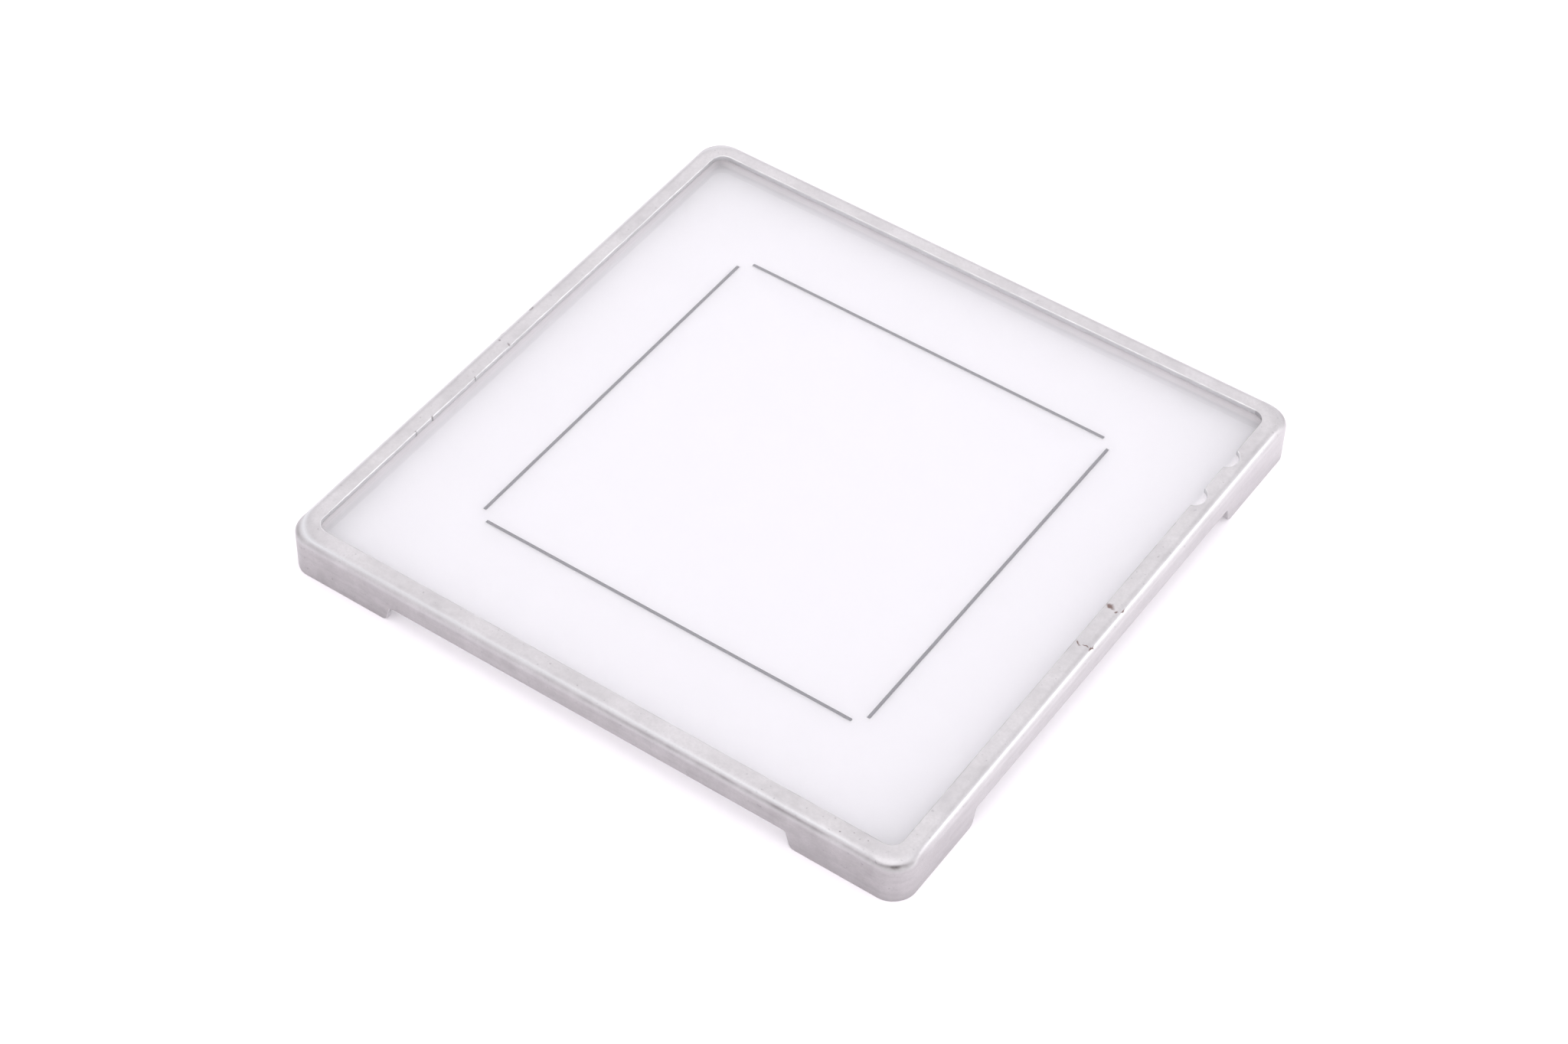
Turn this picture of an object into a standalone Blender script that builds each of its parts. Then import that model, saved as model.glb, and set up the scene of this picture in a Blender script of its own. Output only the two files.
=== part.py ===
"""Drop-in focusing screen of a medium-format camera, in metres, +Z up.

A pressed aluminium tray stands on four corner feet. Under its flange lie a clear
cover glass and, below that, an acrylic plate that is a Fresnel lens on top and
matte underneath. Four fine lines filled with ink in the plate mark a smaller square
format. A sprung steel frame, pushed up between the feet, holds both plates in.

The origin is the middle of the tray, on the plane that the feet stand on. The flange
side with the two half-round notches faces +X.
"""

import math

import bmesh
import bpy
from mathutils import Vector

MM = 0.001

# Tray: one sheet, bent down on all four sides.
TRAY_SIDE = 58.5 * MM
TRAY_HEIGHT = 4.1 * MM
SHEET = 0.5 * MM
BEND_RADIUS = 0.85 * MM
CORNER_RADIUS = 2.0 * MM
WINDOW_SIDE = 54.9 * MM
WINDOW_RADIUS = 1.1 * MM

# Feet: the side walls are cut back between them. The press cut both gaps a little
# off the middle: the one in the front and back walls in x, the other in y.
FOOT_HEIGHT = 1.7 * MM
FOOT_LENGTH = 10.15 * MM
FOOT_SLANT_DEGREES = 16
GAP_SHIFT_X = 0.12 * MM
GAP_SHIFT_Y = -0.28 * MM
FOOT_RADIUS = 0.6 * MM
NOOK_RADIUS = 0.3 * MM

# Two half-round notches in the flange's inner edge mark the kind of screen.
NOTCH_RADIUS = 1.2 * MM
NOTCH_DEPTH = 0.72 * MM
NOTCH_PLACES = (21.45 * MM, 16.25 * MM)

# Plates, from the flange down. Touching faces are a twentieth of a millimetre apart:
# a wider gap would show beside plates that are only a millimetre thick.
FIT_GAP = 0.05 * MM
PLATE_SIDE = 57.2 * MM
PLATE_RADIUS = 1.5 * MM
GLASS_THICKNESS = 0.9 * MM
LENS_THICKNESS = 1.0 * MM
PLATE_CHAMFER = 0.12 * MM

# Format lines: a square with open corners, cut into the lens plate and filled.
FORMAT_SIDE = 36.8 * MM
LINE_LENGTH = 34.95 * MM
LINE_WIDTH = 0.25 * MM
LINE_DEPTH = 0.08 * MM
GROOVE_CLEARANCE = 0.03 * MM

# Retaining frame: a flat ring with two ears on each side, one behind each foot.
RING_SIDE = 57.4 * MM
RING_OPENING = 55.8 * MM
RING_THICKNESS = 0.3 * MM
EAR_PLACE = 24.0 * MM
EAR_LENGTH = 5.0 * MM
EAR_THICKNESS = 0.25 * MM
EAR_DROP = 0.85 * MM

# Heights that follow from the sizes above.
FLANGE_UNDERSIDE = TRAY_HEIGHT - SHEET
GLASS_TOP = FLANGE_UNDERSIDE - FIT_GAP
LENS_TOP = GLASS_TOP - GLASS_THICKNESS - FIT_GAP
RING_TOP = LENS_TOP - LENS_THICKNESS - FIT_GAP

ARC_STEPS = 12
BEND_STEPS = 6
OVERRUN = 1.0 * MM
WELD = 0.001 * MM


def clear_scene():
    for thing in list(bpy.data.objects):
        bpy.data.objects.remove(thing)


def new_collection(name):
    group = bpy.data.collections.new(name)
    bpy.context.scene.collection.children.link(group)
    return group


def new_material(name, color, metallic, roughness, transmission=0.0):
    material = bpy.data.materials.new(name)
    material.use_nodes = True
    shader = material.node_tree.nodes["Principled BSDF"]
    shader.inputs["Base Color"].default_value = (*color, 1.0)
    shader.inputs["Metallic"].default_value = metallic
    shader.inputs["Roughness"].default_value = roughness
    shader.inputs["Transmission Weight"].default_value = transmission
    return material


def arc(center, radius, start, end, steps):
    """Points on an arc, from the start angle to the end angle, in degrees."""
    points = []
    for step in range(steps + 1):
        angle = math.radians(start + (end - start) * step / steps)
        points.append(center + radius * Vector((math.cos(angle), math.sin(angle))))
    return points


def rounded_square(side, radius):
    """Outline of a square with round corners, counterclockwise from the +X side."""
    reach = side / 2 - radius
    points = []
    for turn, (x, y) in enumerate([(1, 1), (-1, 1), (-1, -1), (1, -1)]):
        start = 90 * turn
        points += arc(Vector((x, y)) * reach, radius, start, start + 90, ARC_STEPS)
    return points


def foot_gap_outline():
    """Outline of the gap between two feet, seen from the side: half of it, mirrored."""
    slant = math.radians(FOOT_SLANT_DEGREES)
    radii = FOOT_RADIUS + NOOK_RADIUS
    rise = FOOT_HEIGHT - radii * (1 - math.sin(slant))
    run = radii * math.cos(slant) + rise * math.tan(slant)
    toe = Vector((TRAY_SIDE / 2 - FOOT_LENGTH + FOOT_RADIUS, FOOT_RADIUS))
    nook = Vector((toe.x - run, FOOT_HEIGHT - NOOK_RADIUS))
    half = [Vector((toe.x, -OVERRUN))]
    half += arc(toe, FOOT_RADIUS, 270, 180 + FOOT_SLANT_DEGREES, ARC_STEPS // 2)
    half += arc(nook, NOOK_RADIUS, FOOT_SLANT_DEGREES, 90, ARC_STEPS // 2)
    return half + [Vector((-point.x, point.y)) for point in reversed(half)]


def add_prism(name, outline, thickness, group):
    """A flat outline given its thickness, centred on its own plane, as a mesh."""
    curve = bpy.data.curves.new(name, "CURVE")
    curve.dimensions = "2D"
    curve.fill_mode = "BOTH"
    curve.extrude = thickness / 2
    spline = curve.splines.new("POLY")
    spline.points.add(len(outline) - 1)
    for point, (x, y) in zip(spline.points, outline):
        point.co = (x, y, 0.0, 1.0)
    spline.use_cyclic_u = True
    drawn = bpy.data.objects.new(name + "_outline", curve)
    group.objects.link(drawn)
    depsgraph = bpy.context.evaluated_depsgraph_get()
    mesh = bpy.data.meshes.new_from_object(drawn.evaluated_get(depsgraph))
    bpy.data.objects.remove(drawn)
    close_mesh(mesh)
    mesh.name = name
    piece = bpy.data.objects.new(name, mesh)
    group.objects.link(piece)
    return piece


def close_mesh(mesh):
    """Weld the caps to the sides, make each cap one face, and face all outwards."""
    body = bmesh.new()
    body.from_mesh(mesh)
    bmesh.ops.remove_doubles(body, verts=body.verts, dist=WELD)
    bmesh.ops.dissolve_limit(body, angle_limit=math.radians(1), verts=body.verts, edges=body.edges)
    bmesh.ops.recalc_face_normals(body, faces=body.faces)
    body.to_mesh(mesh)
    body.free()


def add_slab(name, side, radius, bottom, top, group):
    piece = add_prism(name, rounded_square(side, radius), top - bottom, group)
    piece.location.z = (top + bottom) / 2
    return piece


def add_box(name, size, place, group):
    body = bmesh.new()
    bmesh.ops.create_cube(body, size=1.0)
    bmesh.ops.scale(body, vec=size, verts=body.verts)
    mesh = bpy.data.meshes.new(name)
    body.to_mesh(mesh)
    body.free()
    piece = bpy.data.objects.new(name, mesh)
    piece.location = place
    group.objects.link(piece)
    return piece


def round_upper_rim(piece, radius):
    """Round the rim of the prism's upper face into a bend of the given radius."""
    body = bmesh.new()
    body.from_mesh(piece.data)
    height = max(vert.co.z for vert in body.verts)
    rim = []
    for edge in body.edges:
        if all(height - vert.co.z < WELD for vert in edge.verts):
            rim.append(edge)
    bmesh.ops.bevel(body, geom=rim, offset=radius, segments=BEND_STEPS, profile=0.5, affect="EDGES")
    body.to_mesh(piece.data)
    body.free()


def combine(piece, other, operation="DIFFERENCE"):
    other.hide_render = True
    other.display_type = "WIRE"
    modifier = piece.modifiers.new(other.name, "BOOLEAN")
    modifier.operation = operation
    modifier.object = other


def chamfer(piece, width):
    modifier = piece.modifiers.new("chamfer", "BEVEL")
    modifier.width = width
    modifier.segments = 1
    modifier.limit_method = "ANGLE"
    modifier.angle_limit = math.radians(60)


def finish(piece, material):
    """Settle the modifiers into the mesh, give it its material and shade it."""
    depsgraph = bpy.context.evaluated_depsgraph_get()
    mesh = bpy.data.meshes.new_from_object(piece.evaluated_get(depsgraph))
    piece.modifiers.clear()
    mesh.name = piece.name
    mesh.materials.clear()
    mesh.materials.append(material)
    mesh.shade_smooth()
    mesh.set_sharp_from_angle(angle=math.radians(30))
    piece.data = mesh


def add_tray(parts, cutters):
    tray = add_slab("tray_frame", TRAY_SIDE, CORNER_RADIUS, 0.0, TRAY_HEIGHT, parts)
    round_upper_rim(tray, BEND_RADIUS)
    inner_side = TRAY_SIDE - 2 * SHEET
    inner_radius = CORNER_RADIUS - SHEET
    inside = add_slab("inside", inner_side, inner_radius, -OVERRUN, FLANGE_UNDERSIDE, cutters)
    round_upper_rim(inside, BEND_RADIUS - SHEET)
    combine(tray, inside)
    window_top = TRAY_HEIGHT + OVERRUN
    window_bottom = FLANGE_UNDERSIDE - OVERRUN
    window = add_slab("window", WINDOW_SIDE, WINDOW_RADIUS, window_bottom, window_top, cutters)
    combine(tray, window)
    for name, turn, shift in [
        ("gap_front_and_back", 0.0, (GAP_SHIFT_X, 0.0, 0.0)),
        ("gap_left_and_right", math.pi / 2, (0.0, GAP_SHIFT_Y, 0.0)),
    ]:
        gap = add_prism(name, foot_gap_outline(), TRAY_SIDE + 2 * OVERRUN, cutters)
        gap.rotation_euler = (math.pi / 2, 0.0, turn)
        gap.location = shift
        combine(tray, gap)
    for number, place in enumerate(NOTCH_PLACES, 1):
        combine(tray, add_notch(number, place, cutters))
    finish(tray, new_material("satin_aluminium", (0.62, 0.61, 0.62), 1.0, 0.45))


def add_notch(number, place, cutters):
    middle = Vector((WINDOW_SIDE / 2 + NOTCH_DEPTH - NOTCH_RADIUS, place))
    circle = arc(middle, NOTCH_RADIUS, 0, 360, 2 * ARC_STEPS)[:-1]
    notch = add_prism(f"notch_{number}", circle, SHEET + OVERRUN, cutters)
    notch.location.z = TRAY_HEIGHT - SHEET / 2
    return notch


def add_cover_glass(parts):
    bottom = GLASS_TOP - GLASS_THICKNESS
    glass = add_slab("cover_glass", PLATE_SIDE, PLATE_RADIUS, bottom, GLASS_TOP, parts)
    chamfer(glass, PLATE_CHAMFER)
    finish(glass, new_material("float_glass", (0.95, 0.96, 0.97), 0.0, 0.02, 1.0))


def add_lens_plate(parts, cutters):
    bottom = LENS_TOP - LENS_THICKNESS
    plate = add_slab("fresnel_matte_plate", PLATE_SIDE, PLATE_RADIUS, bottom, LENS_TOP, parts)
    chamfer(plate, PLATE_CHAMFER)
    depth = LINE_DEPTH + GROOVE_CLEARANCE
    width = LINE_WIDTH + 2 * GROOVE_CLEARANCE
    length = LINE_LENGTH + 2 * GROOVE_CLEARANCE
    for side, middle, along_x in format_sides():
        place = Vector((*middle, LENS_TOP - depth + OVERRUN / 2))
        size = (length, width, OVERRUN) if along_x else (width, length, OVERRUN)
        combine(plate, add_box(f"groove_{side}", size, place, cutters))
    finish(plate, new_material("matte_acrylic", (0.90, 0.89, 0.92), 0.0, 0.6, 0.3))


def format_sides():
    """Each format line's name, its middle, and whether it runs along X."""
    reach = FORMAT_SIDE / 2
    return [
        ("front", (0.0, -reach), True),
        ("right", (reach, 0.0), False),
        ("back", (0.0, reach), True),
        ("left", (-reach, 0.0), False),
    ]


def add_format_lines(parts):
    ink = new_material("line_ink", (0.06, 0.06, 0.07), 0.0, 0.6)
    for side, middle, along_x in format_sides():
        place = Vector((*middle, LENS_TOP - LINE_DEPTH / 2))
        size = (LINE_LENGTH, LINE_WIDTH, LINE_DEPTH) if along_x else (LINE_WIDTH, LINE_LENGTH, LINE_DEPTH)
        finish(add_box(f"format_line_{side}", size, place, parts), ink)


def add_retaining_frame(parts, cutters):
    ring_radius = CORNER_RADIUS - SHEET + FIT_GAP
    bottom = RING_TOP - RING_THICKNESS
    ring = add_slab("retaining_frame", RING_SIDE, ring_radius, bottom, RING_TOP, parts)
    opening_radius = ring_radius - (RING_SIDE - RING_OPENING) / 2
    opening = add_slab("opening", RING_OPENING, opening_radius, 0.0, TRAY_HEIGHT, cutters)
    combine(ring, opening)
    ear_out = (RING_SIDE - EAR_THICKNESS) / 2
    ear_height = RING_THICKNESS / 2 + EAR_DROP
    ear_middle = RING_TOP - RING_THICKNESS / 2 - ear_height / 2
    number = 0
    for out in (-ear_out, ear_out):
        for along in (-EAR_PLACE, EAR_PLACE):
            for size, place in [
                ((EAR_THICKNESS, EAR_LENGTH, ear_height), (out, along, ear_middle)),
                ((EAR_LENGTH, EAR_THICKNESS, ear_height), (along, out, ear_middle)),
            ]:
                number += 1
                combine(ring, add_box(f"ear_{number}", size, place, cutters), "UNION")
    finish(ring, new_material("spring_steel", (0.20, 0.20, 0.21), 1.0, 0.4))


clear_scene()
screen_parts = new_collection("focusing_screen")
screen_cutters = new_collection("cutters")
add_tray(screen_parts, screen_cutters)
add_cover_glass(screen_parts)
add_lens_plate(screen_parts, screen_cutters)
add_format_lines(screen_parts)
add_retaining_frame(screen_parts, screen_cutters)
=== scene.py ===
"""Looks of a drop-in focusing screen: a pressed aluminium tray that holds a clear cover
glass over an acrylic focusing plate with four ink lines, standing on a pale table.

Lengths are in millimetres until a mesh is made. +X is the side of the tray with the
two half-round notches, and z is 0 on the plane that the feet stand on.
"""

import bpy
import numpy as np
from mathutils import Matrix, Vector


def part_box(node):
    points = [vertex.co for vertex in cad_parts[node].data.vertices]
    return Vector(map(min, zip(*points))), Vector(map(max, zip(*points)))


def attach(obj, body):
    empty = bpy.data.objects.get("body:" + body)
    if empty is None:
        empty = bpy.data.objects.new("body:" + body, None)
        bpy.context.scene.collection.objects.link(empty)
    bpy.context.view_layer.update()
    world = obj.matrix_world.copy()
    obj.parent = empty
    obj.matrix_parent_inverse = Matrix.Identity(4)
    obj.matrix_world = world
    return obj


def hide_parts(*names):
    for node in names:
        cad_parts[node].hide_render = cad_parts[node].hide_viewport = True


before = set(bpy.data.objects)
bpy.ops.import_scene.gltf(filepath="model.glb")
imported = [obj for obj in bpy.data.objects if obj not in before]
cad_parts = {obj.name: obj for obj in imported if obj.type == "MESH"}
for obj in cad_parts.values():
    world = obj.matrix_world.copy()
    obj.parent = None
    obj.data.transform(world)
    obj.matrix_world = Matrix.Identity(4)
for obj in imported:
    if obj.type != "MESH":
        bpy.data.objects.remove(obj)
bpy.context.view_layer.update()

# ---------------------------------------------------------------------------------
# Tray: one sheet of aluminium, blanked with its window, notches and foot gaps, then
# drawn down over a block on all four sides. The draw leaves the bend wider at the
# corners than along the sides, and a shallow groove low on it where the sheet bunched.
# ---------------------------------------------------------------------------------
MM = 0.001
tray_low, tray_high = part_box("tray_frame")
HALF = (tray_high[0] - tray_low[0]) / 2 / MM
TOP = tray_high[2] / MM
SHEET = 0.5
WALL_CORNER = 2.0
BEND_REACH = 0.85
BEND_DROP = 0.85
BEND_CORNER = 3.4
WINDOW_HALF = 27.45
WINDOW_CORNER = 1.1
EDGE = 0.05
FOOT_HEIGHT = 1.7
FOOT_END = HALF - 10.15
FOOT_SLANT = np.radians(16)
FOOT_TOE = 0.6
FOOT_NOOK = 0.3
NOTCH_RADIUS = 1.2
NOTCH_DEPTH = 0.72
NOTCH_PLACES = (21.45, 16.25)
# Sides are numbered 0 right, 1 back, 2 left and 3 front, each with the corner that
# follows it anticlockwise. Where a value has four numbers, they are in that order.
RIGHT, BACK, LEFT, FRONT = 0, 1, 2, 3
GAP_SHIFTS = (-0.28, -0.12, 0.28, 0.12)
# The groove lies at this turn of the bend, in degrees from level, and spreads so far.
GROOVE_TURN = 57
GROOVE_SPREAD = 8
CORNER_GROOVES = np.array([0.02, 0.03, 0.04, 0.10])
CORNER_SET_BACKS = np.array([0.05, 0.06, 0.10, 0.05])
FRONT_GROOVE = 0.035
FRONT_FADE = 12
# A groove this deep is painted fully dark, painted shade in the crease. The bend is rubbed
# smoother and painted lighter, a painted highlight, this many degrees above it, and more
# faintly the same way below it.
FULL_SHADE_DEPTH = 0.12
RUB_AND_HIGHLIGHT_ABOVE = np.array([17, 23, 23, 23])
RUB_AND_HIGHLIGHT_BELOW = 20
RUB_AND_HIGHLIGHT_START = 22
RUB_AND_HIGHLIGHT_RUN = 5
# How much of a full mark each has: the painted shade line round the window, the handled
# front wall, the painted light on the right wall, and the blanked edges.
WINDOW_SHADE_LINE = 0.4
HANDLED = 0.11
PAINTED_WALL_LIGHT = 0.3
LOWER_EDGE_CUT = 0.45


def foot_gap_end():
    """Half of a gap between two feet, from the middle out: (along, height) points.

    Level under the wall, a quarter-round nook, a straight slanted edge, then the round
    toe of the foot down to the table.
    """
    radii = FOOT_TOE + FOOT_NOOK
    rise = FOOT_HEIGHT - radii * (1 - np.sin(FOOT_SLANT))
    run = radii * np.cos(FOOT_SLANT) + rise * np.tan(FOOT_SLANT)
    toe_along = FOOT_END + FOOT_TOE
    nook_turn = np.linspace(np.pi / 2, FOOT_SLANT, 9)
    toe_turn = np.linspace(np.pi + FOOT_SLANT, 1.5 * np.pi, 13)
    nook = [
        toe_along - run + FOOT_NOOK * np.cos(nook_turn),
        FOOT_HEIGHT - FOOT_NOOK + FOOT_NOOK * np.sin(nook_turn),
    ]
    toe = [
        toe_along + FOOT_TOE * np.cos(toe_turn),
        FOOT_TOE + FOOT_TOE * np.sin(toe_turn),
    ]
    return np.concatenate([np.array(nook), np.array(toe)], axis=1)


def notch_depth(along):
    """How far the notches cut into the flange: arcs of a circle, and 0 between them."""
    depth = np.zeros_like(along)
    for place in NOTCH_PLACES:
        off = np.minimum(np.abs(along - place), NOTCH_RADIUS)
        arc = np.sqrt(NOTCH_RADIUS**2 - off**2) - (NOTCH_RADIUS - NOTCH_DEPTH)
        depth = np.maximum(depth, arc)
    return depth


def along_side(reach, share):
    """Place on a straight side: a share of the wall's, and at its end the row's own reach.

    The 11th power of the share keeps the stations of all rows level until near the end.
    """
    wall_reach = HALF - WALL_CORNER
    return wall_reach * share + (reach - wall_reach) * share**11


def square_path(half, corner, share, turn, side):
    """A rounded square: a straight side goes by its share, and a corner by its angle."""
    reach = half - corner
    out = reach + corner * np.cos(turn)
    along = along_side(reach, share) + corner * np.sin(turn)
    angle = side * np.pi / 2
    x = out * np.cos(angle) - along * np.sin(angle)
    y = out * np.sin(angle) + along * np.cos(angle)
    return np.stack([x, y], axis=1)


def tray_stations():
    """Stations round the tray: side number, share of the straight side, corner angle.

    They lie 0.5 mm apart, with more at the ends of the foot gaps and in the notches.
    """
    reach = HALF - WALL_CORNER
    fine = np.linspace(0, 1, 2001)
    window_along = along_side(WINDOW_HALF - WINDOW_CORNER, fine)
    half_notch = np.arccos(1 - NOTCH_DEPTH / NOTCH_RADIUS)
    notch = NOTCH_RADIUS * np.sin(np.linspace(-half_notch, half_notch, 21))
    sides, shares, turns = [], [], []
    for side, shift in enumerate(GAP_SHIFTS):
        gap = foot_gap_end()[0]
        share = [np.linspace(-1, 1, 109), (gap + shift) / reach, (shift - gap) / reach]
        if side == RIGHT:
            share += [np.interp(place + notch, window_along, fine) for place in NOTCH_PLACES]
        share = np.unique(np.round(np.concatenate(share), 6))
        corner = np.linspace(0, np.pi / 2, 26)[1:-1]
        shares += [share, np.ones_like(corner)]
        turns += [np.zeros_like(share), corner]
        sides.append(np.full(len(share) + len(corner), side))
    return np.concatenate(shares), np.concatenate(turns), np.concatenate(sides)


def wall_bottom(share, turn, side):
    """Height of the lower edge at each station, and its normal in the wall's plane."""
    along = share * (HALF - WALL_CORNER)
    gap = foot_gap_end()
    gap = np.concatenate([gap[:, ::-1] * [[-1], [1]], gap], axis=1)
    height = np.zeros_like(along)
    for number, shift in enumerate(GAP_SHIFTS):
        here = side == number
        height[here] = np.interp(along[here], gap[0] + shift, gap[1])
    path = along + WALL_CORNER * turn
    run = np.roll(path, -1) - np.roll(path, 1)
    rise = np.roll(height, -1) - np.roll(height, 1)
    level = (turn > 0) | (np.abs(rise) < 1e-6) | (run <= 0)
    length = np.where(level, 1, np.hypot(run, rise))
    normal_along = np.where(level, 0, -rise / length)
    normal_up = np.where(level, 1, run / length)
    return height, normal_along, normal_up


def bunching(share, turn, side):
    """Depths of the groove low on the bend, and of the wall's set-back below it.

    Both swell at the corners, as a squared sine of the corner angle; the groove also
    runs on along the front side, where it fades out towards -X.
    """
    swell = np.sin(2 * turn) ** 2
    along = share * (HALF - WALL_CORNER)
    front = np.clip((along + FRONT_FADE) / (2 * FRONT_FADE), 0.15, 1) * FRONT_GROOVE
    front = np.where(turn == 0, front, FRONT_GROOVE * np.cos(turn) ** 2)
    groove = CORNER_GROOVES[side] * swell + np.where(side == FRONT, front, 0)
    return groove, CORNER_SET_BACKS[side] * swell


def bell(turn, middle, spread):
    """A bell curve of a turn in degrees: 1 at its middle, and 1/e a spread away."""
    return np.exp(-(((turn - middle) / spread) ** 2))


def bend_rub_and_highlight(share, side):
    """How much the bend is rubbed smoother and painted lighter as a painted highlight: less
    before each corner, and more before the left one.
    """
    past = np.abs(share) * (HALF - WALL_CORNER) - RUB_AND_HIGHLIGHT_START
    corner_near = np.clip(past / RUB_AND_HIGHLIGHT_RUN, 0, 1) ** 2
    left_corner = ((side == FRONT) & (share < 0)) | ((side == LEFT) & (share > 0))
    loss = np.where((side == RIGHT) | (side == FRONT), 0.8, 0.3)
    return 1 + np.where(left_corner, 0.5, -loss) * corner_near


def wall_dirt_and_light(share, turn, side):
    """Handling of the front wall, and painted light on the right one, which is painted lighter
    as if lit more.

    Both fade evenly round the corners, and the painted light also towards the front end.
    """
    round_corner = turn / (np.pi / 2)
    handled = np.where(side == FRONT, 1 - round_corner, 0)
    handled = handled + np.where(side == LEFT, round_corner, 0)
    painted_wall_light = np.clip(0.3 + 1.6 * (share + 1), 0, 1) * (1 - round_corner)
    painted_wall_light = np.where(side == RIGHT, painted_wall_light, 0)
    painted_wall_light = painted_wall_light + np.where(side == FRONT, 0.3 * round_corner, 0)
    return HANDLED * np.clip(1.5 * handled, 0, 1), PAINTED_WALL_LIGHT * painted_wall_light


def pressed_tray():
    """The sheet's closed cross-section, carried round the square, with its marks.

    Rows run over the window's cut edge, across the flange, round the bend (a quarter
    ellipse), down the outer face, over the lower edge and back inside the sheet. Marks
    are shares from 0 to 1: freshly cut metal, with painted light on the far window edges,
    the notch faces and the right wall; rubbed metal with a painted highlight; and painted
    shade in the groove and round the window, with handling dirt on the front wall.
    """
    share, turn, side = tray_stations()
    outline = (share, turn, side)
    window = square_path(WINDOW_HALF, WINDOW_CORNER, *outline)
    notched = np.where((side == RIGHT) & (turn == 0), notch_depth(window[:, 1]), 0)
    window[:, 0] += notched
    tangent = np.roll(window, -1, axis=0) - np.roll(window, 1, axis=0)
    tangent /= np.linalg.norm(tangent, axis=1)[:, None]
    window_out = np.stack([tangent[:, 1], -tangent[:, 0]], axis=1)
    bend = square_path(HALF - BEND_REACH, BEND_CORNER, *outline)
    lower, lean, lift = wall_bottom(*outline)
    groove, set_back = bunching(*outline)
    direction = side * np.pi / 2 + turn
    along_way = np.stack([-np.sin(direction), np.cos(direction)], axis=1)
    wall_out = np.stack([np.cos(direction), np.sin(direction)], axis=1)
    bend_end = square_path(HALF, WALL_CORNER, *outline)
    wall = bend_end - wall_out * set_back[:, None]
    rub_and_highlight_left = bend_rub_and_highlight(share, side)
    handled, painted_wall_light = wall_dirt_and_light(*outline)
    # Painted light: the window's cut edge is painted fully light on the back and left sides and
    # on the notch faces, and at 0.4 elsewhere.
    painted_lit_edge = (side == BACK) | (side == LEFT) | (notched > 0.02)
    window_edge_cut_and_light = np.where(painted_lit_edge, 1.0, 0.4)
    rows, marks = [], []

    def add_row(plan, height, cut_and_painted_light=0.0, rub_and_highlight=0.0, dirt_and_shade=0.0):
        rows.append(np.column_stack([plan, np.broadcast_to(height, len(plan))]))
        shown = [np.broadcast_to(mark, len(plan)) for mark in (cut_and_painted_light, rub_and_highlight, dirt_and_shade)]
        marks.append(np.stack(shown, axis=1))

    def add_lower_row(inset, edge_lift):
        plan = wall - wall_out * inset + along_way * (lean * edge_lift)[:, None]
        add_row(plan, lower + lift * edge_lift, cut_and_painted_light=LOWER_EDGE_CUT)

    quarter = np.linspace(0, np.pi / 2, 4)
    for angle in quarter:
        plan = window + window_out * EDGE * (1 - np.sin(angle))
        add_row(plan, TOP - SHEET + EDGE * (1 - np.cos(angle)), window_edge_cut_and_light)
    for angle in quarter:
        plan = window + window_out * EDGE * (1 - np.cos(angle))
        height = TOP - EDGE + EDGE * np.sin(angle)
        # Painted shade: a dark line on the upper rounding of the window's edge.
        add_row(plan, height, window_edge_cut_and_light, dirt_and_shade=WINDOW_SHADE_LINE * np.sin(angle) ** 2)
    flange_start = window + window_out * EDGE
    for step in (0.04, 0.1, 0.2, 0.35, 0.5, 0.65, 0.8, 0.9, 1):
        add_row(flange_start + (bend - flange_start) * step, TOP)
    for angle in np.linspace(0, np.pi / 2, 31)[1:]:
        degrees = np.degrees(angle)
        past = np.clip((degrees - GROOVE_TURN) / (90 - GROOVE_TURN), 0, 1)
        dip = groove * bell(degrees, GROOVE_TURN, GROOVE_SPREAD)
        dip = dip + set_back * past * past * (3 - 2 * past)
        plan = bend + (bend_end - bend) * np.sin(angle) - wall_out * dip[:, None]
        height = TOP - BEND_DROP * (1 - np.cos(angle))
        # Painted highlight: a band above the groove, and a fainter one below it, is painted
        # lighter and made smoother.
        rub_and_highlight = bell(degrees, GROOVE_TURN - RUB_AND_HIGHLIGHT_ABOVE[side], 9)
        rub_and_highlight = rub_and_highlight + 0.35 * bell(degrees, GROOVE_TURN + RUB_AND_HIGHLIGHT_BELOW, 11)
        # Painted shade: the groove is painted dark where it is deep.
        dirt_and_shade = np.clip(groove / FULL_SHADE_DEPTH, 0, 1)
        dirt_and_shade = dirt_and_shade * bell(degrees, GROOVE_TURN, GROOVE_SPREAD)
        wall_share = np.clip(degrees / 30 - 1.5, 0, 1)
        dirt_and_shade = dirt_and_shade + handled * wall_share
        add_row(plan, height, painted_wall_light * wall_share, rub_and_highlight * rub_and_highlight_left, dirt_and_shade)
    wall_top = np.column_stack([wall, np.full(len(wall), TOP - BEND_DROP)])
    foot = wall + along_way * (lean * EDGE)[:, None]
    wall_foot = np.column_stack([foot, lower + lift * EDGE])
    for step in np.linspace(0, 1, 15)[1:]:
        point = wall_top + (wall_foot - wall_top) * step
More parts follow.
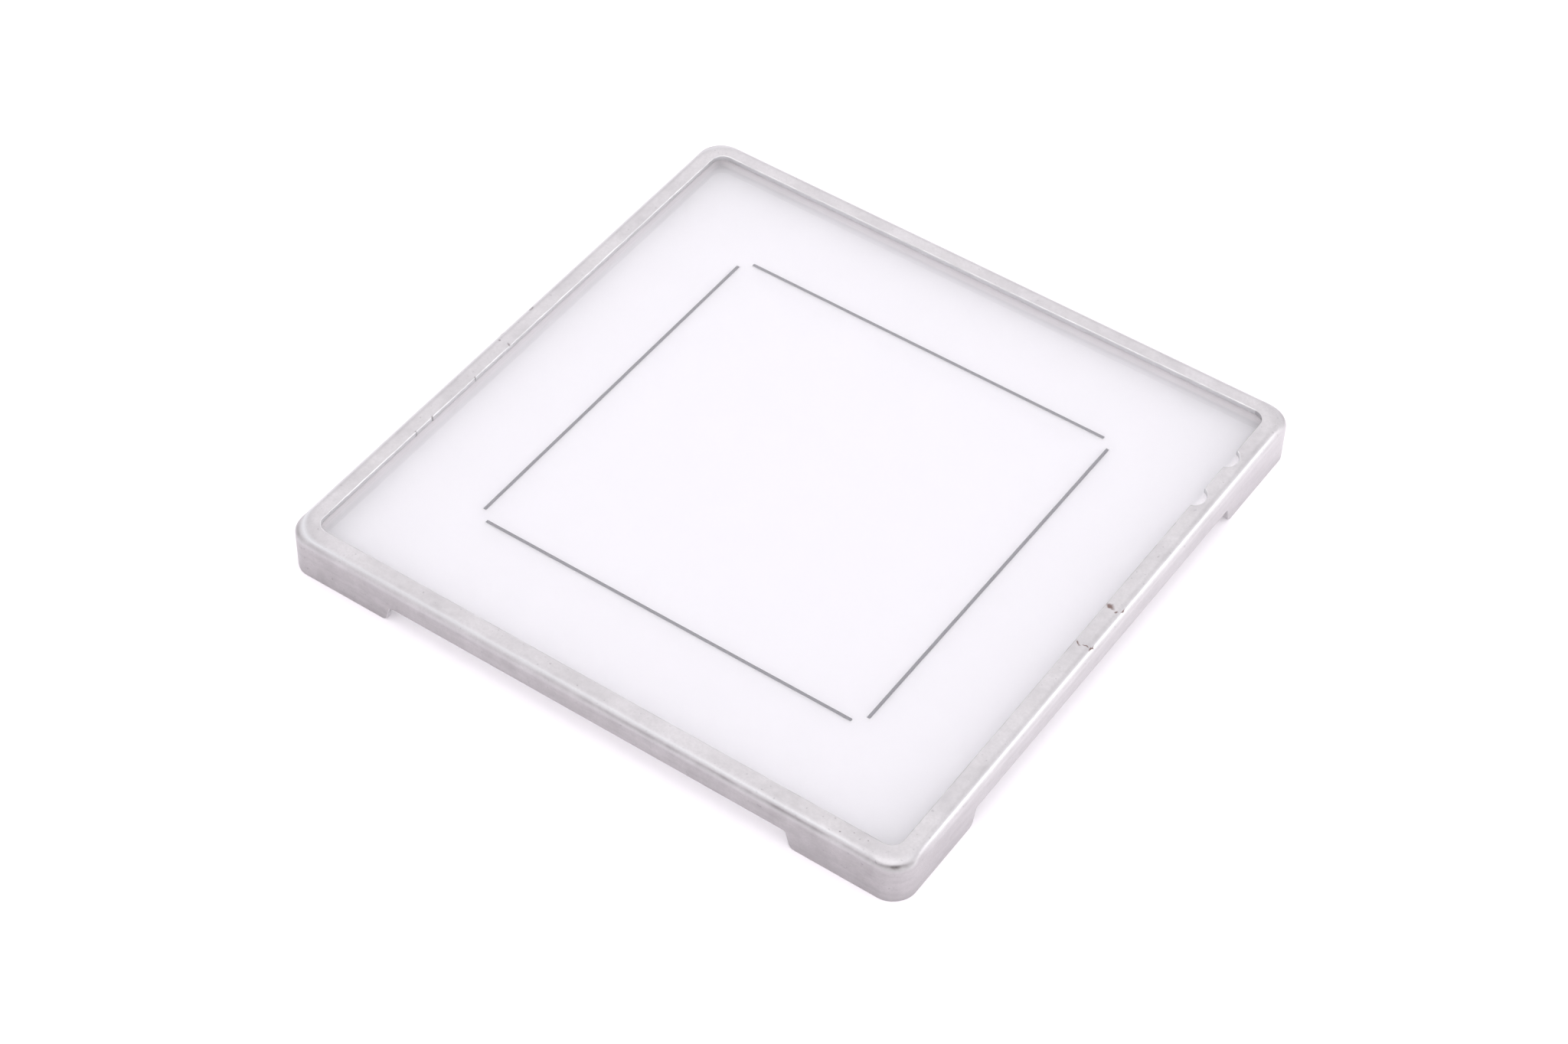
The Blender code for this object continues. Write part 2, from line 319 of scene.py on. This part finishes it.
        # Painted light on the right wall, and handling dirt on the front one.
        add_row(point[:, :2], point[:, 2], painted_wall_light, dirt_and_shade=handled)
    for angle in quarter[1:]:
        add_lower_row(EDGE * (1 - np.cos(angle)), EDGE * (1 - np.sin(angle)))
    for angle in quarter:
        add_lower_row(SHEET - EDGE * (1 - np.sin(angle)), EDGE * (1 - np.cos(angle)))
    inner_wall = wall - wall_out * SHEET
    inner_top = np.column_stack([inner_wall, np.full(len(wall), TOP - BEND_DROP)])
    inner_foot = rows[-1]
    for step in np.linspace(0, 1, 7)[1:]:
        point = inner_foot + (inner_top - inner_foot) * step
        add_row(point[:, :2], point[:, 2])
    for angle in np.linspace(np.pi / 2, 0, 6)[1:]:
        plan = bend + (inner_wall - bend) * np.sin(angle)
        add_row(plan, TOP - SHEET - (BEND_DROP - SHEET) * (1 - np.cos(angle)))
    for step in np.linspace(0, 1, 6)[1:-1]:
        add_row(bend + (flange_start - bend) * step, TOP - SHEET)
    return np.stack(rows, axis=1), np.stack(marks, axis=1)


def add_surface(name, points, smooth_angle=40):
    """A mesh of quads between neighbours on a grid that is closed both ways, in mm.

    Each quad goes to the next row before the next station, so it faces out of the sheet.
    """
    stations, rows = points.shape[:2]
    here = np.arange(stations * rows).reshape(stations, rows)
    ahead = np.roll(here, -1, axis=0)
    beside = np.roll(here, -1, axis=1)
    quads = np.stack([here, beside, np.roll(ahead, -1, axis=1), ahead], axis=-1)
    mesh = bpy.data.meshes.new(name)
    mesh.from_pydata((points.reshape(-1, 3) * MM).tolist(), [], quads.reshape(-1, 4).tolist())
    mesh.shade_smooth()
    mesh.set_sharp_from_angle(angle=np.radians(smooth_angle))
    piece = bpy.data.objects.new(name, mesh)
    bpy.context.scene.collection.objects.link(piece)
    return piece


def linear(hex_colour):
    """An sRGB hex colour such as "c8cacd" as linear red, green, blue and alpha 1."""
    value = np.array([int(hex_colour[i : i + 2], 16) for i in (0, 2, 4)]) / 255
    curve = np.where(value <= 0.04045, value / 12.92, ((value + 0.055) / 1.055) ** 2.4)
    return (*curve.tolist(), 1.0)


def add_node(tree, kind, sockets=None, **settings):
    """Adds a node. Each socket is given a value, or the output that is linked to it."""
    node = tree.nodes.new(kind)
    for name, value in settings.items():
        setattr(node, name, value)
    for name, value in (sockets or {}).items():
        if isinstance(value, bpy.types.NodeSocket):
            tree.links.new(value, node.inputs[name])
        else:
            node.inputs[name].default_value = value
    return node


def new_material(name):
    """An empty node material: its tree, and its output node."""
    material = bpy.data.materials.new(name)
    material.use_nodes = True
    material.node_tree.nodes.clear()
    return material, material.node_tree, add_node(material.node_tree, "ShaderNodeOutputMaterial")


def stain_mask(tree, place, spots, fading=0.45):
    """The share of stain at a place: 1 in the middle of a spot, and 0 outside them all.

    A spot is an ellipse: x and y of its middle, length and width in mm, turn in degrees.
    """
    mask = 0.0
    for x, y, long, wide, turn in spots:
        seen = add_node(
            tree,
            "ShaderNodeMapping",
            {
                "Vector": place,
                "Location": (x * MM, y * MM, 0),
                "Rotation": (0, 0, np.radians(turn)),
                "Scale": (long / 2 * MM, wide / 2 * MM, 1),
            },
            vector_type="TEXTURE",
        )
        reach = add_node(
            tree, "ShaderNodeVectorMath", {0: seen.outputs[0]}, operation="LENGTH"
        )
        fade = add_node(
            tree,
            "ShaderNodeMapRange",
            {0: reach.outputs["Value"], 1: fading, 2: 1.1, 3: 1.0, 4: 0.0},
        )
        most = add_node(
            tree, "ShaderNodeMath", {0: mask, 1: fade.outputs[0]}, operation="MAXIMUM"
        )
        mask = most.outputs[0]
    return mask


# Old adhesive, brown, at the middle of the +X side where the camera's clip pressed, and
# grey-brown wear of the -X side. Each spot is x, y, length, width and turn.
GLUE_SPOTS = (
    (27.88, 2.05, 0.85, 0.52, -15),
    (28.58, 1.82, 0.36, 0.20, 60),
    (28.86, 2.35, 0.55, 0.14, 78),
    (27.82, -2.62, 0.62, 0.20, -20),
    (28.45, -2.54, 0.66, 0.20, 5),
    (28.87, -2.40, 0.85, 0.14, 84),
)
WEAR_SPOTS = (
    (-28.75, 2.20, 0.60, 0.24, 75),
    (-28.60, -2.42, 0.26, 0.20, 0),
    (-27.66, -2.40, 0.46, 0.20, -40),
    (-28.95, -1.60, 0.50, 0.18, 80),
    (-27.50, -7.10, 0.18, 0.14, 0),
    (-27.50, -12.70, 0.26, 0.18, 0),
    (-27.50, -14.80, 0.20, 0.14, 0),
    (23.19, -28.50, 0.16, 0.12, 0),
    (24.11, -27.96, 0.20, 0.12, 30),
    (25.37, -27.98, 0.16, 0.12, 0),
    (27.42, 15.07, 0.22, 0.12, 20),
    (27.20, 12.77, 0.16, 0.12, 0),
    (28.18, 8.78, 0.16, 0.10, 50),
)


def satin_aluminium():
    """Aluminium sheet, etched and clear anodised: an even satin grey. Its etched grain,
    a few hundredths of a millimetre, is drawn at 0.2 mm, as coarse as it needs to show.
    Hands and the camera's seat rub it smoother on the bends, which are also painted lighter
    there as a painted highlight. The groove below them and a thin line round the window are
    painted dark as painted shade, and the front wall carries handling dirt. The far window
    edges, the notch faces and the right wall are painted lighter as painted light.
    """
    material, tree, output = new_material("satin_anodised_aluminium")
    place = add_node(tree, "ShaderNodeTexCoord").outputs["Object"]
    grains = {}
    for name, size, detail, stretch, low, high in (
        ("cloud", 5.0, 3.0, (1, 1, 1), 0.3, 0.7),
        ("streak", 0.5, 3.0, (0.12, 0.12, 1.0), 0.38, 0.7),
        ("mottle", 0.8, 2.0, (1, 1, 1), 0.3, 0.7),
        ("smear", 1.7, 4.0, (1, 1, 0.6), 0.3, 0.7),
        ("grain", 0.2, 3.0, (1, 1, 1), 0.35, 0.75),
        ("fleck", 0.32, 1.0, (1, 1, 1), 0.72, 0.77),
    ):
        stretched = add_node(tree, "ShaderNodeMapping", {"Vector": place, "Scale": stretch})
        noise = add_node(
            tree,
            "ShaderNodeTexNoise",
            {"Vector": stretched.outputs[0], "Scale": 1 / (size * MM), "Detail": detail},
        )
        grains[name] = add_node(
            tree, "ShaderNodeMapRange", {0: noise.outputs["Fac"], 1: low, 2: high}
        ).outputs[0]
    wobble = add_node(
        tree,
        "ShaderNodeTexNoise",
        {"Vector": place, "Scale": 1 / (0.35 * MM), "Detail": 3.0},
    )
    centred = add_node(
        tree,
        "ShaderNodeVectorMath",
        {0: wobble.outputs["Color"], 1: (0.5, 0.5, 0.5)},
        operation="SUBTRACT",
    )
    shift = add_node(
        tree,
        "ShaderNodeVectorMath",
        {0: centred.outputs[0], "Scale": 0.4 * MM},
        operation="SCALE",
    )
    moved = add_node(
        tree, "ShaderNodeVectorMath", {0: place, 1: shift.outputs[0]}, operation="ADD"
    )
    flat = add_node(
        tree,
        "ShaderNodeVectorMath",
        {0: moved.outputs[0], 1: (1, 1, 0)},
        operation="MULTIPLY",
    )
    glue = stain_mask(tree, flat.outputs[0], GLUE_SPOTS)
    rub_and_highlight = add_node(tree, "ShaderNodeAttribute", attribute_name="rub_and_highlight").outputs["Fac"]
    cut_and_painted_light = add_node(tree, "ShaderNodeAttribute", attribute_name="cut_and_painted_light")
    dirt_and_shade = add_node(tree, "ShaderNodeAttribute", attribute_name="dirt_and_shade")
    uneven = add_node(tree, "ShaderNodeMapRange", {0: grains["smear"], 3: 0.35, 4: 1.65})
    shade_and_soil = add_node(
        tree,
        "ShaderNodeMath",
        {0: dirt_and_shade.outputs["Fac"], 1: uneven.outputs[0]},
        operation="MULTIPLY",
    )
    colour = linear("b6b3b4")
    for share, strength, hex_colour in (
        (grains["cloud"], 1.0, "bbb8ba"),
        (grains["streak"], 0.65, "a5a2a4"),
        (grains["mottle"], 0.4, "c2bfc1"),
        (grains["grain"], 0.3, "9e9b9d"),
        (grains["fleck"], 0.4, "838083"),
        # Painted highlight on the rubbed bends; freshly cut edges together with painted light on
        # the far window edges, notch faces and right wall; painted shade in the groove and round
        # the window, mixed with handling dirt.
        (rub_and_highlight, 0.6, "c9c9cb"),
        (cut_and_painted_light.outputs["Fac"], 1.0, "e4e3e4"),
        (shade_and_soil.outputs[0], 0.9, "55504f"),
        (stain_mask(tree, flat.outputs[0], WEAR_SPOTS), 0.7, "6d6566"),
        (glue, 0.9, "5a4039"),
    ):
        part = add_node(tree, "ShaderNodeMath", {0: share, 1: strength}, operation="MULTIPLY")
        colour = add_node(
            tree,
            "ShaderNodeMix",
            {0: part.outputs[0], 6: colour, 7: linear(hex_colour)},
            data_type="RGBA",
        ).outputs[2]
    bump = add_node(
        tree,
        "ShaderNodeBump",
        {"Height": grains["grain"], "Strength": 0.35, "Distance": 0.012 * MM},
    )
    smooth = add_node(tree, "ShaderNodeMapRange", {0: rub_and_highlight, 3: 0.43, 4: 0.27})
    bare = add_node(tree, "ShaderNodeMapRange", {0: glue, 3: 1.0, 4: 0.2})
    shader = add_node(
        tree,
        "ShaderNodeBsdfPrincipled",
        {
            "Base Color": colour,
            "Metallic": bare.outputs[0],
            "Roughness": smooth.outputs[0],
            "Normal": bump.outputs[0],
        },
    )
    tree.links.new(shader.outputs[0], output.inputs["Surface"])
    return material


points, marks = pressed_tray()
tray = add_surface("tray_sheet", points)
for index, name in enumerate(("cut_and_painted_light", "rub_and_highlight", "dirt_and_shade")):
    values = tray.data.attributes.new(name, "FLOAT", "POINT")
    values.data.foreach_set("value", marks[:, :, index].ravel())
tray.data.materials.append(satin_aluminium())
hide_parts("tray_frame")
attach(tray, "root")

# ---------------------------------------------------------------------------------
# Retaining frame: a flat ring of hard-rolled spring steel under the plates. Its ears,
# bent down behind the feet, spring against the tray's walls and hold both plates up.
# ---------------------------------------------------------------------------------
def spring_steel():
    """Hard-rolled spring steel, blued a little darker than the aluminium round it."""
    material, tree, output = new_material("rolled_spring_steel")
    place = add_node(tree, "ShaderNodeTexCoord").outputs["Object"]
    roll = add_node(tree, "ShaderNodeMapping", {"Vector": place, "Scale": (0.1, 1.0, 1.0)})
    noise = add_node(
        tree,
        "ShaderNodeTexNoise",
        {"Vector": roll.outputs[0], "Scale": 1 / (0.3 * MM), "Detail": 3.0},
    )
    rough = add_node(
        tree, "ShaderNodeMapRange", {0: noise.outputs["Fac"], 1: 0.3, 2: 0.7, 3: 0.28, 4: 0.4}
    )
    shader = add_node(
        tree,
        "ShaderNodeBsdfPrincipled",
        {"Base Color": linear("b9b9bc"), "Metallic": 1.0, "Roughness": rough.outputs[0]},
    )
    tree.links.new(shader.outputs[0], output.inputs["Surface"])
    return material


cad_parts["retaining_frame"].data.materials.clear()
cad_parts["retaining_frame"].data.materials.append(spring_steel())

# ---------------------------------------------------------------------------------
# Focusing plate: cast acrylic, a Fresnel lens on top and finely matted underneath,
# laid against the cover glass. Its border under the flange is given a painted glow.
# ---------------------------------------------------------------------------------
PAINTED_GLOW_START = 27.1
PAINTED_GLOW_END = 27.6
FACET = 0.6


def matte_acrylic():
    """Acrylic, clear in its body, with a ground face that spreads what shines through.

    Its border under the flange has a painted glow: a weak emission that lightens it.
    The lens's rings, too fine to see, are drawn 0.6 mm apart as a change of gloss.
    """
    material, tree, output = new_material("matte_acrylic")
    place = add_node(tree, "ShaderNodeTexCoord").outputs["Object"]
    across = add_node(tree, "ShaderNodeSeparateXYZ", {0: place})
    off_x = add_node(tree, "ShaderNodeMath", {0: across.outputs[0]}, operation="ABSOLUTE")
    off_y = add_node(tree, "ShaderNodeMath", {0: across.outputs[1]}, operation="ABSOLUTE")
    furthest = add_node(
        tree,
        "ShaderNodeMath",
        {0: off_x.outputs[0], 1: off_y.outputs[0]},
        operation="MAXIMUM",
    )
    # Painted glow: emission rising from 0 to 0.3 across the border under the flange.
    painted_glow = add_node(
        tree,
        "ShaderNodeMapRange",
        {0: furthest.outputs[0], 1: PAINTED_GLOW_START * MM, 2: PAINTED_GLOW_END * MM, 3: 0.0, 4: 0.3},
    )
    facets = add_node(
        tree,
        "ShaderNodeTexWave",
        {"Vector": place, "Scale": 2 * np.pi / 20 / (FACET * MM)},
        wave_type="RINGS",
        rings_direction="Z",
    )
    rings = add_node(tree, "ShaderNodeMapRange", {0: facets.outputs["Fac"], 3: 0.68, 4: 0.72})
    shader = add_node(
        tree,
        "ShaderNodeBsdfPrincipled",
        {
            "Base Color": linear("cfcdd1"),
            "Roughness": rings.outputs[0],
            "IOR": 1.49,
            "Transmission Weight": 0.3,
            "Subsurface Weight": 1.0,
            "Subsurface Radius": (1.0, 1.0, 1.0),
            "Subsurface Scale": 4.0 * MM,
            "Emission Color": linear("ebe4e7"),
            "Emission Strength": painted_glow.outputs[0],
        },
    )
    path = add_node(tree, "ShaderNodeLightPath")
    lamp = add_node(
        tree,
        "ShaderNodeMath",
        {0: path.outputs["Is Shadow Ray"], 1: path.outputs["Is Diffuse Ray"]},
        operation="MAXIMUM",
    )
    clear = add_node(tree, "ShaderNodeBsdfTransparent", {"Color": (0.85, 0.85, 0.85, 1)})
    mixed = add_node(
        tree,
        "ShaderNodeMixShader",
        {0: lamp.outputs[0], 1: shader.outputs[0], 2: clear.outputs[0]},
    )
    tree.links.new(mixed.outputs[0], output.inputs["Surface"])
    return material


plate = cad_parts["fresnel_matte_plate"]
plate.data.materials.clear()
plate.data.materials.append(matte_acrylic())

# ---------------------------------------------------------------------------------
# Format lines: four straight grooves milled in the focusing plate's upper face, short
# of each other at the corners, filled with grey-black engraver's ink and wiped level.
# ---------------------------------------------------------------------------------
def line_ink():
    """Engraver's filling ink: matte, and slightly uneven where it was wiped."""
    material, tree, output = new_material("engraving_ink")
    place = add_node(tree, "ShaderNodeTexCoord").outputs["Object"]
    noise = add_node(
        tree, "ShaderNodeTexNoise", {"Vector": place, "Scale": 1 / (0.4 * MM), "Detail": 2.0}
    )
    colour = add_node(
        tree,
        "ShaderNodeMix",
        {0: noise.outputs["Fac"], 6: linear("5c5a60"), 7: linear("68666c")},
        data_type="RGBA",
    )
    shader = add_node(
        tree,
        "ShaderNodeBsdfPrincipled",
        {"Base Color": colour.outputs[2], "Roughness": 0.7},
    )
    tree.links.new(shader.outputs[0], output.inputs["Surface"])
    return material


ink = line_ink()
for place in ("front", "right", "back", "left"):
    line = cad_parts["format_line_" + place]
    line.data.materials.clear()
    line.data.materials.append(ink)

# ---------------------------------------------------------------------------------
# Cover glass: a square of polished sheet glass with ground edges. It is dropped in
# under the tray's flange, and the focusing plate holds it there.
# ---------------------------------------------------------------------------------
def cover_glass():
    """Clear soda-lime glass. Rays on their way to a lamp pass straight through it."""
    material, tree, output = new_material("clear_sheet_glass")
    shader = add_node(
        tree,
        "ShaderNodeBsdfPrincipled",
        {
            "Base Color": linear("fefefe"),
            "Roughness": 0.0,
            "IOR": 1.52,
            "Transmission Weight": 1.0,
        },
    )
    path = add_node(tree, "ShaderNodeLightPath")
    lamp = add_node(
        tree,
        "ShaderNodeMath",
        {0: path.outputs["Is Shadow Ray"], 1: path.outputs["Is Diffuse Ray"]},
        operation="MAXIMUM",
    )
    clear = add_node(tree, "ShaderNodeBsdfTransparent", {"Color": (0.96, 0.96, 0.96, 1)})
    mixed = add_node(
        tree,
        "ShaderNodeMixShader",
        {0: lamp.outputs[0], 1: shader.outputs[0], 2: clear.outputs[0]},
    )
    tree.links.new(mixed.outputs[0], output.inputs["Surface"])
    return material


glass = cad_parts["cover_glass"]
glass.data.materials.clear()
glass.data.materials.append(cover_glass())

# ---------------------------------------------------------------------------------
# Table: a sheet of smooth white card, large enough to fill every view. It lies a
# hundredth of a millimetre under the feet.
# ---------------------------------------------------------------------------------
CARD_HALF = 1.5
CARD_GAP = 0.01


def white_card():
    """Coated white card with a faintly pink cast."""
    material, tree, output = new_material("white_card")
    shader = add_node(
        tree,
        "ShaderNodeBsdfPrincipled",
        {"Base Color": linear("f8f4f7"), "Roughness": 0.8},
    )
    tree.links.new(shader.outputs[0], output.inputs["Surface"])
    return material


floor_mesh = bpy.data.meshes.new("table_card")
card_corners = np.array([[-1, -1, 0], [1, -1, 0], [1, 1, 0], [-1, 1, 0]]) * CARD_HALF
card_corners[:, 2] = -CARD_GAP * MM
floor_mesh.from_pydata(card_corners.tolist(), [], [(0, 1, 2, 3)])
floor = bpy.data.objects.new("table_card", floor_mesh)
bpy.context.scene.collection.objects.link(floor)
floor.data.materials.append(white_card())

# ---------------------------------------------------------------------------------
# Light: a white room, a broad softbox overhead, a smaller one behind and to the left,
# and two on the right, a flat one for the line on the right bend and one low for its wall.
# ---------------------------------------------------------------------------------
def add_softbox(name, direction, distance, wide, high, radiance):
    """A rectangular area lamp that faces the object; its power follows from its radiance."""
    light = bpy.data.lights.new(name, "AREA")
    light.shape = "RECTANGLE"
    light.size = wide
    light.size_y = high
    light.energy = radiance * np.pi * wide * high
    lamp = bpy.data.objects.new(name, light)
    bpy.context.scene.collection.objects.link(lamp)
    away = Vector(direction).normalized()
    facing = away.to_track_quat("Z", "Y").to_matrix().to_4x4()
    lamp.matrix_world = Matrix.Translation(away * distance) @ facing
    lamp.visible_camera = False


add_softbox("top_softbox", (0.05, -0.22, 0.97), 0.9, 0.85, 0.85, 0.65)
add_softbox("back_softbox", (-0.37, 0.60, 0.70), 0.9, 0.5, 0.5, 0.5)
add_softbox("right_softbox", (0.74, 0.53, 0.43), 0.8, 0.6, 0.15, 1.35)
add_softbox("right_low_softbox", (0.88, 0.46, 0.14), 0.8, 0.6, 0.5, 0.8)

world = bpy.data.worlds.new("soft_room")
world.use_nodes = True
world.node_tree.nodes["Background"].inputs["Color"].default_value = linear("fdfcff")
world.node_tree.nodes["Background"].inputs["Strength"].default_value = 1.4
bpy.context.scene.world = world
bpy.context.scene.view_settings.view_transform = "Standard"

# ---------------------------------------------------------------------------------
# Camera: a long lens, looking down at the tray over its front right corner, turned
# slightly about its own axis.
# ---------------------------------------------------------------------------------
LENS = 81.25
AZIMUTH = np.radians(33.37)
ELEVATION = np.radians(47.14)
ROLL = np.radians(1.91)
DISTANCE = 280.0
LOOK_AT = np.array([2.26, -5.48, TOP])

back = np.array(
    [
        np.sin(AZIMUTH) * np.cos(ELEVATION),
        -np.cos(AZIMUTH) * np.cos(ELEVATION),
        np.sin(ELEVATION),
    ]
)
right = np.array([np.cos(AZIMUTH), np.sin(AZIMUTH), 0.0])
up = np.cross(back, right)
across = right * np.cos(ROLL) + up * np.sin(ROLL)
upward = up * np.cos(ROLL) - right * np.sin(ROLL)
camera_data = bpy.data.cameras.new("camera")
camera_data.lens = LENS
camera_data.sensor_width = 36.0
camera_data.clip_start = 0.01
camera = bpy.data.objects.new("camera", camera_data)
bpy.context.scene.collection.objects.link(camera)
spot = (LOOK_AT + back * DISTANCE) * MM
turned = Matrix((across, upward, back)).transposed().to_4x4()
camera.matrix_world = Matrix.Translation(Vector(spot)) @ turned
bpy.context.scene.camera = camera
